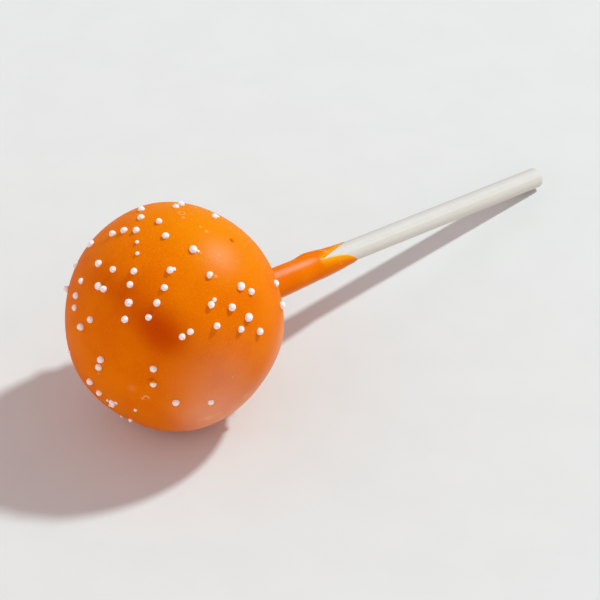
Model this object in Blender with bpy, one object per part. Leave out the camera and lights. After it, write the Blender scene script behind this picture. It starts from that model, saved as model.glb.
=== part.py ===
"""A cake pop lying on its side: a candy-coated cake ball on a paper stick.

Metres, +Z up. The stick points along +X and slopes down until its free end touches the
surface. The ball rests beside -X on a small flat spot. The origin is on the surface,
below the middle of the whole.

The coating is one solid: the dipped ball, the sleeve it left along the stick, and the
sugar beads stuck in it. The stick is the other solid, in a blind hole of the first.
"""

import math
import random

import bmesh
import bpy
import numpy as np
from mathutils import Matrix, Vector

# The ball, in its own axes: X along the stick, Y across it, Z the third way, mostly up.
BALL_ALONG = 0.0378
BALL_ACROSS = 0.0392
BALL_TALL = 0.0410
CENTRE_HEIGHT = 0.02025  # a little under the ball's half height, which leaves the flat spot
# Directions from the centre are two angles in degrees: the first from the ball's nose,
# which is opposite the stick, and the second round the stick from the top towards -Y.
# The dipped surface has low swells and hollows: direction, height, spread in degrees.
SWELLS = (
    ((131, 90), 0.00040, 15),
    ((126, -4), -0.00025, 20),
    ((99, -36), 0.00022, 17),
    ((50, -88), -0.00016, 20),
    ((41, -143), 0.00016, 13),
    ((55, 173), -0.00020, 13),
    ((82, 143), 0.00018, 13),
    ((111, 118), -0.00010, 13),
)

# The stick, a rolled paper one of the usual 4 inches by 5/32 inch.
STICK_DIAMETER = 0.0040
STICK_LENGTH = 0.1016
STICK_REACH = 0.0954  # from the ball's centre to the free end, along the stick
STICK_ASIDE = -0.0011  # the stick went in off centre, towards -Y
STICK_GAP = 0.00015  # between the stick and the coating round it

# The sleeve of coating on the stick. Angles are in degrees round the stick, from the top
# towards -Y, and reaches are measured along it from the ball's centre.
SLEEVE_ROOT = 0.0165  # inside the ball
SLEEVE_EDGE = (  # once round, from the bottom of the notch back to it
    (33, 0.0342),
    (38, 0.0377),
    (54, 0.0408),
    (85, 0.0430),
    (130, 0.0448),  # the lower tongue
    (180, 0.0440),
    (250, 0.0416),
    (318, 0.0433),  # the upper tongue
    (356, 0.0401),
    (380, 0.0368),
    (393, 0.0342),
)
SLEEVE_THIN = 0.00040
SLEEVE_THICK = 0.0015
THICK_SIDE = 136  # the angle where the sleeve is thickest
THINS_OVER = 0.0065  # it gets thinner towards its edge, over about this distance
LIP = 0.0006  # width of the rounded lip at the edge
DRIP_ANGLE, DRIP_REACH = -38, 0.0325  # a second run of coating, set on top of the sleeve
DRIP_HEIGHT, DRIP_WIDTH = 0.00038, 34
DRIP_RISE, DRIP_FALL = 0.0017, 0.0032  # its length towards the ball, and away from it
ROOT_FILLET, ROOT_FILLET_LENGTH = 0.0004, 0.0012

# The sugar beads. Each run is: how many beads, the directions of its first and last, size.
BEAD_DIAMETER = 0.00132
BEAD_RUNS = (
    (2, (83, -27), (75, -20), 1),
    (2, (60, -6), (54, 0), 0.6),
    (2, (47, 7), (41, 11), 1),
    (2, (34, 22), (28, 32), 1),
    (2, (94, -13), (99, -14), 1),
    (1, (107, 4), (107, 4), 1),
    (2, (77, -7), (71, 5), 1),
    (1, (77, 20), (77, 20), 1),
    (3, (61, -28), (66, -14), 1),
    (2, (43, -27), (42, -9), 1),
    (2, (31, -17), (31, -8), 1),
    (3, (58, -48), (45, -79), 1),
    (3, (36, -46), (24, -62), 0.9),
    (2, (14, -23), (13, -60), 1),
    (4, (60, 23), (39, 42), 1),
    (1, (77, 36), (77, 36), 1),
    (2, (91, 47), (97, 51), 1),
    (2, (126, 52), (127, 66), 1),
    (1, (71, 50), (71, 50), 1),
    (1, (74, 48), (74, 48), 0.55),
    (2, (81, 55), (91, 62), 1.1),
    (3, (71, 61), (97, 71), 1),
    (2, (57, 60), (52, 62), 1),
    (2, (7, 106), (9, 143), 0.9),
    (3, (22, 187), (32, 160), 0.9),
    (2, (39, 139), (48, 159), 0.5),
    (2, (36, 84), (37, 98), 1),
    (2, (52, 109), (70, 106), 1),
    (1, (30, -125), (30, -125), 0.5),
)
RUN_WANDER = 0.35  # degrees a bead lies off its place in the run
SHOWN_SIDE = Vector((-0.65, -0.55, 0.53))  # the runs cover this side, the scatter the rest
SCATTER_FROM = -0.25  # the scatter starts this far past the middle between the two
SCATTERED_BEADS = 38
SCATTER_SPACING = 0.0030
BROKEN_SHARE, BROKEN_SIZE = 0.14, 0.62  # the scatter has some broken small beads
FLOOR_CLEARANCE = 0.0004
BEAD_SEED = 2723

BALL_SEMI_AXES = Vector((BALL_ALONG, BALL_ACROSS, BALL_TALL)) / 2
STICK_RADIUS = STICK_DIAMETER / 2
STICK_AXIS = Vector((0, STICK_ASIDE, 0))
# The tilt that lays the low edge of the stick's free end on the surface.
TILT = math.asin(CENTRE_HEIGHT / math.hypot(STICK_REACH, STICK_RADIUS)) - math.atan2(
    STICK_RADIUS, STICK_REACH
)

BALL_SUBDIVISIONS = 4
EDGE_STEPS = 8  # points of the sleeve's edge between two of its listed ones
SLEEVE_SIDES = 48
SLEEVE_RINGS = 15
SLEEVE_CROWDING = 1.6  # above 1, the rings lie closer together towards the edge
STICK_SIDES = 40
BEAD_SIDES, BEAD_RINGS = 8, 4


def clear_scene():
    for obj in list(bpy.data.objects):
        bpy.data.objects.remove(obj, do_unlink=True)


def material(name, color, roughness):
    made = bpy.data.materials.new(name)
    made.use_nodes = True
    shader = made.node_tree.nodes["Principled BSDF"]
    shader.inputs["Base Color"].default_value = (*color, 1)
    shader.inputs["Roughness"].default_value = roughness
    shader.inputs["Metallic"].default_value = 0
    return made


def mesh_object(name, shape, surface, collection=None):
    """A smooth-shaded object from a bmesh, which is freed."""
    bmesh.ops.recalc_face_normals(shape, faces=shape.faces)
    mesh = bpy.data.meshes.new(name)
    shape.to_mesh(mesh)
    shape.free()
    mesh.shade_smooth()
    mesh.materials.append(surface)
    obj = bpy.data.objects.new(name, mesh)
    (collection or bpy.context.scene.collection).objects.link(obj)
    return obj


def direction_at(along, around):
    """The direction at this angle from the nose and this angle round the stick."""
    along, around = math.radians(along), math.radians(around)
    ring = math.sin(along)
    return Vector((-math.cos(along), -ring * math.sin(around), ring * math.cos(around)))


def swell(direction):
    """How far the coating stands out of a plain rounded ball in this direction."""
    return sum(
        height * math.exp(-((direction.angle(direction_at(*at)) / math.radians(spread)) ** 2))
        for at, height, spread in SWELLS
    )


def ball_point(direction):
    """The point of the coated surface in this direction from the ball's centre."""
    return direction * BALL_SEMI_AXES + direction * swell(direction)


def ball_normal(direction):
    x, y, z = direction
    along, across, tall = BALL_SEMI_AXES
    return Vector((x / along, y / across, z / tall)).normalized()


def make_ball(surface):
    shape = bmesh.new()
    bmesh.ops.create_icosphere(shape, subdivisions=BALL_SUBDIVISIONS, radius=1)
    for vert in shape.verts:
        vert.co = ball_point(vert.co.normalized())
    return mesh_object("coated_ball", shape, surface)


def smooth_curve(points, steps):
    """Points on a smooth curve through these ones, so many steps to each stretch."""
    points = np.array(points, float)
    before, after = 2 * points[0] - points[1], 2 * points[-1] - points[-2]
    padded = np.vstack((before, points, after))
    t = np.linspace(0, 1, steps, endpoint=False)[:, None]
    stretches = [
        p1
        + (p2 - p0) * t / 2
        + (2 * p0 - 5 * p1 + 4 * p2 - p3) * t**2 / 2
        + (3 * p1 - p0 - 3 * p2 + p3) * t**3 / 2
        for p0, p1, p2, p3 in zip(padded, padded[1:], padded[2:], padded[3:])
    ]
    return np.vstack((*stretches, points[-1]))


def edge_reach(angle, edge):
    """Where the coating ends along the stick, at this angle round it."""
    return float(np.interp((angle - edge[0, 0]) % 360 + edge[0, 0], *edge.T))


def distance_to_edge(angle, reach, edge):
    """How far a point of the sleeve is from the coating's edge, over the unrolled stick."""
    arc = math.radians(1) * STICK_RADIUS
    here = np.array((((angle - edge[0, 0]) % 360 + edge[0, 0]) * arc, reach))
    nearest = math.inf
    for turn in (-360, 0, 360):
        line = (edge + (turn, 0)) * (arc, 1)
        start, along = line[:-1], np.diff(line, axis=0)
        share = ((here - start) * along).sum(1) / (along * along).sum(1)
        foot = start + along * share.clip(0, 1)[:, None]
        nearest = min(nearest, np.hypot(*(here - foot).T).min())
    return nearest


def sleeve_thickness(angle, reach, edge):
    """The coating's thickness on the stick, down to nothing at its rounded edge."""
    distance = distance_to_edge(angle, reach, edge)
    heavy = (1 + math.cos(math.radians(angle - THICK_SIDE))) / 2
    extra = (SLEEVE_THICK - SLEEVE_THIN) * heavy * (1 - math.exp(-distance / THINS_OVER))
    off_drip = (angle - DRIP_ANGLE + 180) % 360 - 180
    drip_length = DRIP_RISE if reach < DRIP_REACH else DRIP_FALL
    past_drip = (reach - DRIP_REACH) / drip_length
    drip = DRIP_HEIGHT * math.exp(-((off_drip / DRIP_WIDTH) ** 2) - past_drip**2)
    beyond_ball = max(reach - BALL_SEMI_AXES.x, 0)
    fillet = ROOT_FILLET * math.exp(-beyond_ball / ROOT_FILLET_LENGTH)
    lip = math.sqrt(1 - (1 - min(distance / LIP, 1)) ** 2)
    return (SLEEVE_THIN + extra + drip + fillet) * lip


def on_stick(angle, reach, radius):
    """A point beside the stick's axis, in the ball's axes."""
    turn = math.radians(angle)
    aside = Vector((0, -math.sin(turn), math.cos(turn)))
    return STICK_AXIS + Vector((reach, 0, 0)) + aside * radius


def sleeve_profile(angle, edge):
    """(reach, radius) along the sleeve at one angle, from inside the ball to the edge."""
    length = edge_reach(angle, edge) - SLEEVE_ROOT
    for i in range(SLEEVE_RINGS):
        left = (1 - i / (SLEEVE_RINGS - 1)) ** SLEEVE_CROWDING
        reach = SLEEVE_ROOT + length * (1 - left)
        yield reach, STICK_RADIUS + sleeve_thickness(angle, reach, edge)


def make_sleeve(surface, collection):
    """A closed plug, solid right through. The stick's hole is cut afterwards."""
    edge = smooth_curve(SLEEVE_EDGE, EDGE_STEPS)
    shape = bmesh.new()
    profiles = []
    for i in range(SLEEVE_SIDES):
        angle = edge[0, 0] + 360 * i / SLEEVE_SIDES
        places = sleeve_profile(angle, edge)
        profiles.append([shape.verts.new(on_stick(angle, *place)) for place in places])
    root = shape.verts.new(on_stick(0, SLEEVE_ROOT, 0))
    end = shape.verts.new(on_stick(0, edge[0, 1], 0))
    for this, following in zip(profiles, profiles[1:] + profiles[:1]):
        for i in range(SLEEVE_RINGS - 1):
            shape.faces.new((this[i], this[i + 1], following[i + 1], following[i]))
        shape.faces.new((root, this[0], following[0]))
        shape.faces.new((end, following[-1], this[-1]))
    return mesh_object("sleeve", shape, surface, collection)


def height_above_surface(point):
    """The resting height of a point given in the ball's axes."""
    return CENTRE_HEIGHT + point.z * math.cos(TILT) - point.x * math.sin(TILT)


def may_hold_a_bead(direction, radius, others):
    """True on the far side, clear of the sleeve, of the surface and of other beads."""
    if direction.dot(SHOWN_SIDE) > SCATTER_FROM:
        return False
    point = ball_point(direction)
    off_stick = math.hypot(point.y - STICK_ASIDE, point.z)
    if point.x > 0 and off_stick < STICK_RADIUS + SLEEVE_THICK + BEAD_DIAMETER:
        return False
    lowest = height_above_surface(point + ball_normal(direction) * radius) - radius
    if lowest < FLOOR_CLEARANCE:
        return False
    return all((point - ball_point(d)).length > SCATTER_SPACING for d, _ in others)


def bead_radius(draw, size):
    """Half a bead's diameter. No two are quite alike."""
    return BEAD_DIAMETER / 2 * size * draw.uniform(0.88, 1.1)


def bead_places(draw):
    """(direction, radius) of each bead: the runs that show, then the scatter."""
    places = []
    for count, first, last, size in BEAD_RUNS:
        for i in range(count):
            share = i / max(count - 1, 1)
            along, around = (a + (b - a) * share for a, b in zip(first, last))
            around += draw.gauss(0, RUN_WANDER) / math.sin(math.radians(along))
            along += draw.gauss(0, RUN_WANDER)
            places.append((direction_at(along, around), bead_radius(draw, size)))
    while len(places) < sum(run[0] for run in BEAD_RUNS) + SCATTERED_BEADS:
        along = math.degrees(math.acos(draw.uniform(-1, 1)))
        direction = direction_at(along, draw.uniform(-180, 180))
        radius = bead_radius(draw, BROKEN_SIZE if draw.random() < BROKEN_SHARE else 1)
        if may_hold_a_bead(direction, radius, places):
            places.append((direction, radius))
    return places


def make_beads(surface, collection):
    """One small faceted bead for each place, sunk to between a third and half its depth."""
    draw = random.Random(BEAD_SEED)
    shape = bmesh.new()
    bmesh.ops.create_uvsphere(
        shape, u_segments=BEAD_SIDES, v_segments=BEAD_RINGS, radius=1
    )
    template = mesh_object("bead", shape, surface)
    for i, (direction, radius) in enumerate(bead_places(draw)):
        outward = ball_normal(direction)
        centre = ball_point(direction) + outward * radius * draw.uniform(0.1, 0.45)
        sizes = Vector((draw.uniform(0.92, 1.06), 1, draw.uniform(0.92, 1.06))) * radius
        turned = outward.to_track_quat("Z", "Y").to_matrix().to_4x4()
        bead = bpy.data.objects.new(f"bead_{i:03d}", template.data)
        bead.matrix_world = (
            Matrix.Translation(centre)
            @ turned
            @ Matrix.Rotation(draw.uniform(0, math.tau), 4, "Z")
            @ Matrix.Diagonal((*sizes, 1))
        )
        collection.objects.link(bead)
    bpy.data.objects.remove(template)


def make_stick(surface, name, radius, start, end, sides):
    """A round rod on the stick's axis, between two reaches."""
    shape = bmesh.new()
    bmesh.ops.create_cone(
        shape,
        cap_ends=True,
        segments=sides,
        radius1=radius,
        radius2=radius,
        depth=end - start,
        matrix=Matrix.Translation(STICK_AXIS + Vector(((start + end) / 2, 0, 0)))
        @ Matrix.Rotation(math.pi / 2, 4, "Y"),
    )
    rod = mesh_object(name, shape, surface)
    rod.data.set_sharp_from_angle(angle=math.radians(40))
    return rod


def apply_boolean(target, operation, **operand):
    """Applies one Boolean by the EXACT solver, and removes what it used."""
    cut = target.modifiers.new(operation.lower(), "BOOLEAN")
    cut.operation = operation
    cut.solver = "EXACT"
    cut.material_mode = "TRANSFER"
    for key, value in operand.items():
        setattr(cut, key, value)
    bpy.context.view_layer.update()
    graph = bpy.context.evaluated_depsgraph_get()
    result = bpy.data.meshes.new_from_object(target.evaluated_get(graph))
    target.modifiers.clear()
    target.data = result


def fuse(target, collection):
    apply_boolean(target, "UNION", operand_type="COLLECTION", collection=collection)
    for obj in list(collection.objects):
        bpy.data.objects.remove(obj)
    bpy.data.collections.remove(collection)


def bore(target, cutter):
    apply_boolean(target, "DIFFERENCE", object=cutter)
    bpy.data.objects.remove(cutter)


def cut_flat_spot(target):
    """Slices off what would be below the surface, and closes the cut with one face."""
    down = Vector((math.sin(TILT), 0, -math.cos(TILT)))
    shape = bmesh.new()
    shape.from_mesh(target.data)
    found = bmesh.ops.bisect_plane(
        shape,
        geom=[*shape.verts, *shape.edges, *shape.faces],
        plane_co=down * CENTRE_HEIGHT,
        plane_no=down,
        clear_outer=True,
    )
    rim = [e for e in found["geom_cut"] if isinstance(e, bmesh.types.BMEdge)]
    bmesh.ops.contextual_create(shape, geom=rim)
    shape.to_mesh(target.data)
    shape.free()


def stand_at_origin(pieces):
    """Hangs the pieces on one empty, tilted and moved so that the whole is centred."""
    pop = bpy.data.objects.new("cake_pop", None)
    bpy.context.scene.collection.objects.link(pop)
    pop.rotation_euler = (0, TILT, 0)
    turn = Matrix.Rotation(TILT, 3, "Y")
    points = [turn @ vert.co for piece in pieces for vert in piece.data.vertices]
    xs, ys = [p.x for p in points], [p.y for p in points]
    middle = Vector(((min(xs) + max(xs)) / 2, (min(ys) + max(ys)) / 2, 0))
    pop.location = Vector((0, 0, CENTRE_HEIGHT)) - middle
    for piece in pieces:
        piece.parent = pop
    print("the ball's centre is at", tuple(round(v, 6) for v in pop.location))


def main():
    clear_scene()
    orange = material("orange_candy_coating", (0.87, 0.27, 0.01), 0.38)
    white_sugar = material("white_sugar_beads", (0.86, 0.84, 0.82), 0.45)
    paper = material("white_rolled_paper", (0.78, 0.78, 0.74), 0.7)

    coating = make_ball(orange)
    added = bpy.data.collections.new("added_to_the_coating")
    bpy.context.scene.collection.children.link(added)
    make_sleeve(orange, added)
    make_beads(white_sugar, added)
    fuse(coating, added)

    stick_start = STICK_REACH - STICK_LENGTH
    stick = make_stick(
        paper, "stick", STICK_RADIUS, stick_start, STICK_REACH, STICK_SIDES
    )
    hole = make_stick(
        orange,
        "stick_hole",
        STICK_RADIUS + STICK_GAP,
        stick_start - STICK_GAP,
        STICK_REACH,
        STICK_SIDES,
    )
    bore(coating, hole)
    cut_flat_spot(coating)
    stand_at_origin([coating, stick])


main()
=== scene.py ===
# %% [markdown]
# # A cake pop, dipped in orange candy coating
# A cake pop is a ball of cake on a paper stick. It is dipped in melted candy coating, which
# sets as a smooth satin shell, runs a little way down the stick as a sleeve with an uneven
# edge, and holds white sugar beads that are sprinkled on while it is still wet.
#
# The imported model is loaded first. It has two solids, `coated_ball` and `stick`, and it
# fixes where everything is, so each dressed piece below takes its place from it.

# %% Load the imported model
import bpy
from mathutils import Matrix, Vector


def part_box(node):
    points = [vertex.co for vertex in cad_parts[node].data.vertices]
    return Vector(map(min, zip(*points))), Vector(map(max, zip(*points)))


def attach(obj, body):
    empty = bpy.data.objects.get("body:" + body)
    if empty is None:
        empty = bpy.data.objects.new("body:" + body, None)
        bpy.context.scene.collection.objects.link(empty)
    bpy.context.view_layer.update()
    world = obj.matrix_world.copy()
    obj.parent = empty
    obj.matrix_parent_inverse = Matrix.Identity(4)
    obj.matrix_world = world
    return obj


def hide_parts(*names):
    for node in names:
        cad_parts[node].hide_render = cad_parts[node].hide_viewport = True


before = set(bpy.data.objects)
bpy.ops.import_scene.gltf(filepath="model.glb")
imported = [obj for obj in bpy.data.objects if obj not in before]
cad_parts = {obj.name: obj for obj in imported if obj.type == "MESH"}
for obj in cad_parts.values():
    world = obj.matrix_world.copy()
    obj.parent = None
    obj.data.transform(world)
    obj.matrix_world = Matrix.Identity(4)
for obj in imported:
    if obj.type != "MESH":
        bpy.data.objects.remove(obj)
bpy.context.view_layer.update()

# %% Modules
import math
import random

import bmesh
import bpy
import numpy as np
from mathutils import Matrix, Vector, noise

# %% [markdown]
# ## Where the pop lies
# The pop lies on its side: the ball rests on a small flat spot, and the stick slopes down
# until its end touches the table. Everything is shaped in the ball's own axes, with X along
# the stick and the origin at the ball's centre, because a ball and a stick are simple there.
# One matrix then lays the finished shape on the table. The tilt follows from the height of
# the ball's centre and the reach of the stick, and the place is read from the stick's solid.

# %% Sizes of the ball and the stick, in metres
BALL_ALONG = 0.0378
BALL_ACROSS = 0.0392
BALL_TALL = 0.0410
CENTRE_HEIGHT = 0.02025
STICK_DIAMETER = 0.0040
STICK_LENGTH = 0.1016
STICK_REACH = 0.0954  # from the ball's centre to the free end
STICK_ASIDE = -0.0011  # the stick went in off centre

BALL_SEMI_AXES = np.array((BALL_ALONG, BALL_ACROSS, BALL_TALL)) / 2
STICK_RADIUS = STICK_DIAMETER / 2
TILT = math.asin(CENTRE_HEIGHT / math.hypot(STICK_REACH, STICK_RADIUS)) - math.atan2(
    STICK_RADIUS, STICK_REACH
)


def ball_axes_in_frame():
    """The matrix that takes the ball's own axes to the frame, from the stick's solid."""
    low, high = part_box("stick")
    end_x = STICK_REACH * math.cos(TILT) + STICK_RADIUS * math.sin(TILT)
    centre = Vector((high.x - end_x, (low.y + high.y) / 2 - STICK_ASIDE, CENTRE_HEIGHT))
    return Matrix.Translation(centre) @ Matrix.Rotation(TILT, 4, "Y")


LAY_DOWN = ball_axes_in_frame()
print("ball centre", LAY_DOWN.translation[:], "tilt", round(math.degrees(TILT), 3))

# %% [markdown]
# ## Helpers
# Most of the shapes below are computed as arrays of points, so the first helpers turn points
# and faces into an object, and values into attributes of its mesh. The others add nodes to a
# material or a Geometry Nodes tree and wire their inputs in the same call, which keeps a node
# tree readable as text.

# %% Helpers for meshes


def new_object(name, data):
    made = bpy.data.objects.new(name, data)
    bpy.context.scene.collection.objects.link(made)
    return made


def add_object(name, points, faces, surface):
    """A smooth-shaded mesh object from points in the ball's axes."""
    mesh = bpy.data.meshes.new(name)
    mesh.from_pydata(np.asarray(points).tolist(), [], list(faces))
    mesh.shade_smooth()
    mesh.materials.append(surface)
    return new_object(name, mesh)


def coordinates(mesh):
    """The mesh's points as an array."""
    found = np.empty(len(mesh.vertices) * 3, np.float32)
    mesh.vertices.foreach_get("co", found)
    return found.reshape(-1, 3).astype(float)


def add_attribute(mesh, name, values, kind="FLOAT"):
    """Stores one value for each point, for a material or a node tree to read."""
    field = "vector" if kind == "FLOAT_VECTOR" else "value"
    made = mesh.attributes.new(name, kind, "POINT")
    made.data.foreach_set(field, np.ascontiguousarray(values, np.float32).ravel())


def apply_modifiers(obj):
    """Makes the shape that the modifiers give the object's own, and removes them."""
    bpy.context.view_layer.update()
    graph = bpy.context.evaluated_depsgraph_get()
    result = bpy.data.meshes.new_from_object(obj.evaluated_get(graph))
    obj.modifiers.clear()
    obj.data = result


def falloff(distance, spread):
    """A soft bell: 1 in the middle, about a third at the spread, and 0 far out."""
    return np.exp(-((distance / spread) ** 2))


# %% Helpers for nodes


def wire(tree, node, inputs):
    """Sets a node's inputs: each to a plain value, or to the output socket given for it."""
    for name, value in inputs.items():
        if isinstance(value, bpy.types.NodeSocket):
            tree.links.new(value, node.inputs[name])
        else:
            node.inputs[name].default_value = value


def add_node(tree, kind, inputs=None, **settings):
    """A new node with its settings made and its inputs wired."""
    made = tree.nodes.new(kind)
    for name, value in settings.items():
        setattr(made, name, value)
    wire(tree, made, inputs or {})
    return made


def calculate(tree, operation, first, second):
    """The result of one Math node."""
    return add_node(tree, "ShaderNodeMath", {0: first, 1: second}, operation=operation).outputs[0]


def smooth_step(tree, value, start, end, low=0.0, high=1.0):
    """A socket that rises smoothly from low at start to high at end."""
    step = add_node(
        tree,
        "ShaderNodeMapRange",
        {"Value": value, 1: start, 2: end, 3: low, 4: high},
        interpolation_type="SMOOTHSTEP",
    )
    return step.outputs["Result"]


# %% Helpers for materials


def new_material(name):
    """(material, its tree, its Principled BSDF, the Object coordinates)."""
    made = bpy.data.materials.new(name)
    made.use_nodes = True
    tree = made.node_tree
    place = add_node(tree, "ShaderNodeTexCoord").outputs["Object"]
    return made, tree, tree.nodes["Principled BSDF"], place


def carried(tree, name):
    """A value that the mesh carries at each point, as a socket."""
    return add_node(tree, "ShaderNodeAttribute", attribute_name=name).outputs["Fac"]


def noise_field(tree, place, per_metre, detail):
    """Soft random blotches from 0 to 1, so many to a metre."""
    inputs = {"Vector": place, "Scale": per_metre, "Detail": detail}
    return add_node(tree, "ShaderNodeTexNoise", inputs).outputs[0]


def mix_colors(tree, share, first, second):
    """A socket with the first color where share is 0 and the second where it is 1."""
    mix = add_node(tree, "ShaderNodeMix", {0: share, 6: first, 7: second}, data_type="RGBA")
    return mix.outputs[2]


def fine_relief(tree, height, strength, distance):
    """A normal for relief that is finer than any mesh could follow."""
    inputs = {"Strength": strength, "Distance": distance, "Height": height}
    return add_node(tree, "ShaderNodeBump", inputs).outputs["Normal"]


# %% [markdown]
# ## The candy coating's finish
# Candy coating is sugar, fat and color, set hard. It is opaque but a little soft at its
# shadow edge, because some light goes in and comes out nearby. Its skin is satin with a very
# fine grain, like eggshell, and its color drifts slightly where the coat is thicker. The
# grain is finer than any mesh could follow, so it is noise in the color, the roughness and a
# shallow bump.
#
# The rest depends on the place, so the mesh carries it in attributes that are stored further
# down, and one loop lays the colors over each other. The side towards the softbox has painted
# light: it is warmer, with brighter specks. A band of painted shade deepens it where the
# shadow edge falls, and painted reflections of the lit table and a painted highlight of the
# softbox make it milky pink in spots and streaks. Where it thins out over the white paper
# stick, it turns golden and then pale yellow. The small marks in the skin are paler or deeper
# too: the pits hold painted shade, and some pale bumps are painted glints. Only the painted
# reflections have gloss of their own, so that is the shader's coat, and the plain skin under
# it has next to none.

# %% Candy coating colors
COATING_ORANGE = (0.818, 0.181, 0.0004, 1)
COATING_DEEP = (0.778, 0.152, 0.0003, 1)
COATING_PALE = (0.930, 0.350, 0.006, 1)
# painted shade: the deeper color of the band where the shadow edge falls
COATING_PAINTED_SHADE = (0.590, 0.060, 0.0002, 1)
# painted light: the warmer color of the side towards the softbox
COATING_PAINTED_LIGHT = (0.800, 0.242, 0.001, 1)
COATING_SHEEN = (1.0, 0.55, 0.05, 1)  # the tint of its gloss, seen face on
COATING_GOLDEN = (0.840, 0.310, 0.003, 1)
COATING_OVER_PAPER = (0.870, 0.560, 0.170, 1)
# painted reflection: the pale pink of the lit table and the softbox seen in the skin
COATING_PAINTED_REFLECTION = (0.940, 0.560, 0.460, 1)
# paler tone of marks; on some low bumps and on a line in the sleeve it is a painted glint
MARK_PALE = (0.900, 0.430, 0.140, 1)
# deeper tone of marks; in the pits and along the run's crest it is painted shade
MARK_DEEP = (0.440, 0.060, 0.0003, 1)
COATING_LAYERS = (  # attribute, value where the color begins, value where it is full, color
    # the next three layers are painted light, painted shade and painted reflection
    ("painted_lit_side", 0.0, 1.0, COATING_PAINTED_LIGHT),
    ("painted_core_shade", 0.0, 1.0, COATING_PAINTED_SHADE),
    ("painted_reflection", 0.0, 1.0, COATING_PAINTED_REFLECTION),
    ("thinness", 0.15, 0.60, COATING_GOLDEN),
    ("thinness", 0.70, 0.97, COATING_OVER_PAPER),
    ("mark_tone", 0.0, 1.0, MARK_PALE),
    ("mark_tone", 0.0, -1.0, MARK_DEEP),
)
print(len(COATING_LAYERS), "layers of color over the orange")

# %% Candy coating material
COATING_DRIFT = 0.007  # size of the slow drifts in color
COATING_GRAIN = 0.00030
GRAIN_DEPTH = 0.00010
MOST_SPECKS, SHADED_SPECKS = 0.80, 0.42  # how pale the specks are under the painted light, and the share away from it
COATING_ROUGHNESS = 0.50
ROUGHNESS_GRAIN = 0.05
PLAIN_GLOSS, REFLECTION_GLOSS = 0.03, 0.60
GLOSSY_FROM = 0.25  # a painted reflection of this much has the full gloss


def speckled_orange(tree, place, grain):
    """The coating's color, with slow drifts and pale specks that are brighter under the painted
    light.
    """
    drift = noise_field(tree, place, 1 / COATING_DRIFT, 2)
    color = mix_colors(tree, smooth_step(tree, drift, 0.35, 0.70), COATING_ORANGE, COATING_DEEP)
    specks = smooth_step(tree, grain, 0.52, 0.80, 0.0, MOST_SPECKS)
    # the specks are brighter under the painted light
    on_painted_light = smooth_step(tree, carried(tree, "painted_lit_side"), 0.0, 0.45, SHADED_SPECKS, 1.0)
    speck_share = calculate(tree, "MULTIPLY", specks, on_painted_light)
    return mix_colors(tree, speck_share, color, COATING_PALE)


def make_candy_coating():
    made, tree, shader, place = new_material("orange_candy_coating")
    grain = noise_field(tree, place, 1 / COATING_GRAIN, 3)
    color = speckled_orange(tree, place, grain)
    for attribute, start, full, layer in COATING_LAYERS:
        share = smooth_step(tree, carried(tree, attribute), start, full)
        color = mix_colors(tree, share, color, layer)
    smoothest = COATING_ROUGHNESS - ROUGHNESS_GRAIN
    roughest = COATING_ROUGHNESS + ROUGHNESS_GRAIN
    surface = {
        "Base Color": color,
        "Roughness": smooth_step(tree, grain, 0.3, 0.7, smoothest, roughest),
        "Normal": fine_relief(tree, grain, 0.8, GRAIN_DEPTH),
        # real gloss, laid where the painted reflections lie
        "Coat Weight": smooth_step(
            tree, carried(tree, "painted_reflection"), 0.0, GLOSSY_FROM, 0.0, REFLECTION_GLOSS
        ),
        "Coat Roughness": COATING_ROUGHNESS,
        "Specular IOR Level": PLAIN_GLOSS,
        "Specular Tint": COATING_SHEEN,
        "Subsurface Weight": 0.10,
        "Subsurface Radius": (1.0, 0.35, 0.08),
        "Subsurface Scale": 0.0012,
    }
    wire(tree, shader, surface)
    return made


candy_coating = make_candy_coating()
print("material", candy_coating.name, "nodes", len(candy_coating.node_tree.nodes))

# %% [markdown]
# ## The dipped ball
# The ball is rolled by hand, so it is a little taller than it is long, and the coating lies
# on it in low swells and hollows. A direction from the centre is given by two angles: the
# first from the nose, which is opposite the stick, and the second round the stick from the
# top. Each swell is a smooth bump in one direction, added to a rounded ellipsoid. That keeps
# the surface one formula, which can be read at any direction: for the mesh, for the beads
# that sit on it, and for the marks below.

# %% Shape of the dipped ball
SWELLS = (  # direction in degrees, height, spread in degrees
    ((131, 90), 0.00040, 15),
    ((126, -4), -0.00025, 20),
    ((99, -36), 0.00022, 17),
    ((50, -88), -0.00016, 20),
    ((41, -143), 0.00016, 13),
    ((55, 173), -0.00020, 13),
    ((82, 143), 0.00018, 13),
    ((111, 118), -0.00010, 13),
)


def direction_at(along, around):
    """The direction at this angle from the nose and this angle round the stick."""
    along, around = np.radians(along), np.radians(around)
    ring = np.sin(along)
    return np.stack((-np.cos(along), -ring * np.sin(around), ring * np.cos(around)), -1)


def angle_between(directions, at):
    """Degrees between each direction and the one at these two angles."""
    return np.degrees(np.arccos(np.clip(directions @ direction_at(*at), -1, 1)))


def ball_points(directions):
    """The coated surface's points in these directions from the ball's centre."""
    swell = sum(
        height * falloff(angle_between(directions, at), spread) for at, height, spread in SWELLS
    )
    return directions * BALL_SEMI_AXES + directions * np.asarray(swell)[..., None]


def ball_normals(directions):
    normals = directions / BALL_SEMI_AXES
    return normals / np.linalg.norm(normals, axis=-1, keepdims=True)


print("nose of the ball at", ball_points(direction_at(0, 0)))

# %% [markdown]
# ## Where the beads stick
# The beads are sprinkled on by hand, so they lie in loose runs on one side and thinly all
# over the rest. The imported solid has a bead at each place, so the same rule and the same
# seed are used here, and every bead of the dressed piece falls on a bead of the solid. The
# runs are written down first, and the scatter keeps a distance from the stick, from the
# table and from the beads that are already there.

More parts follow.
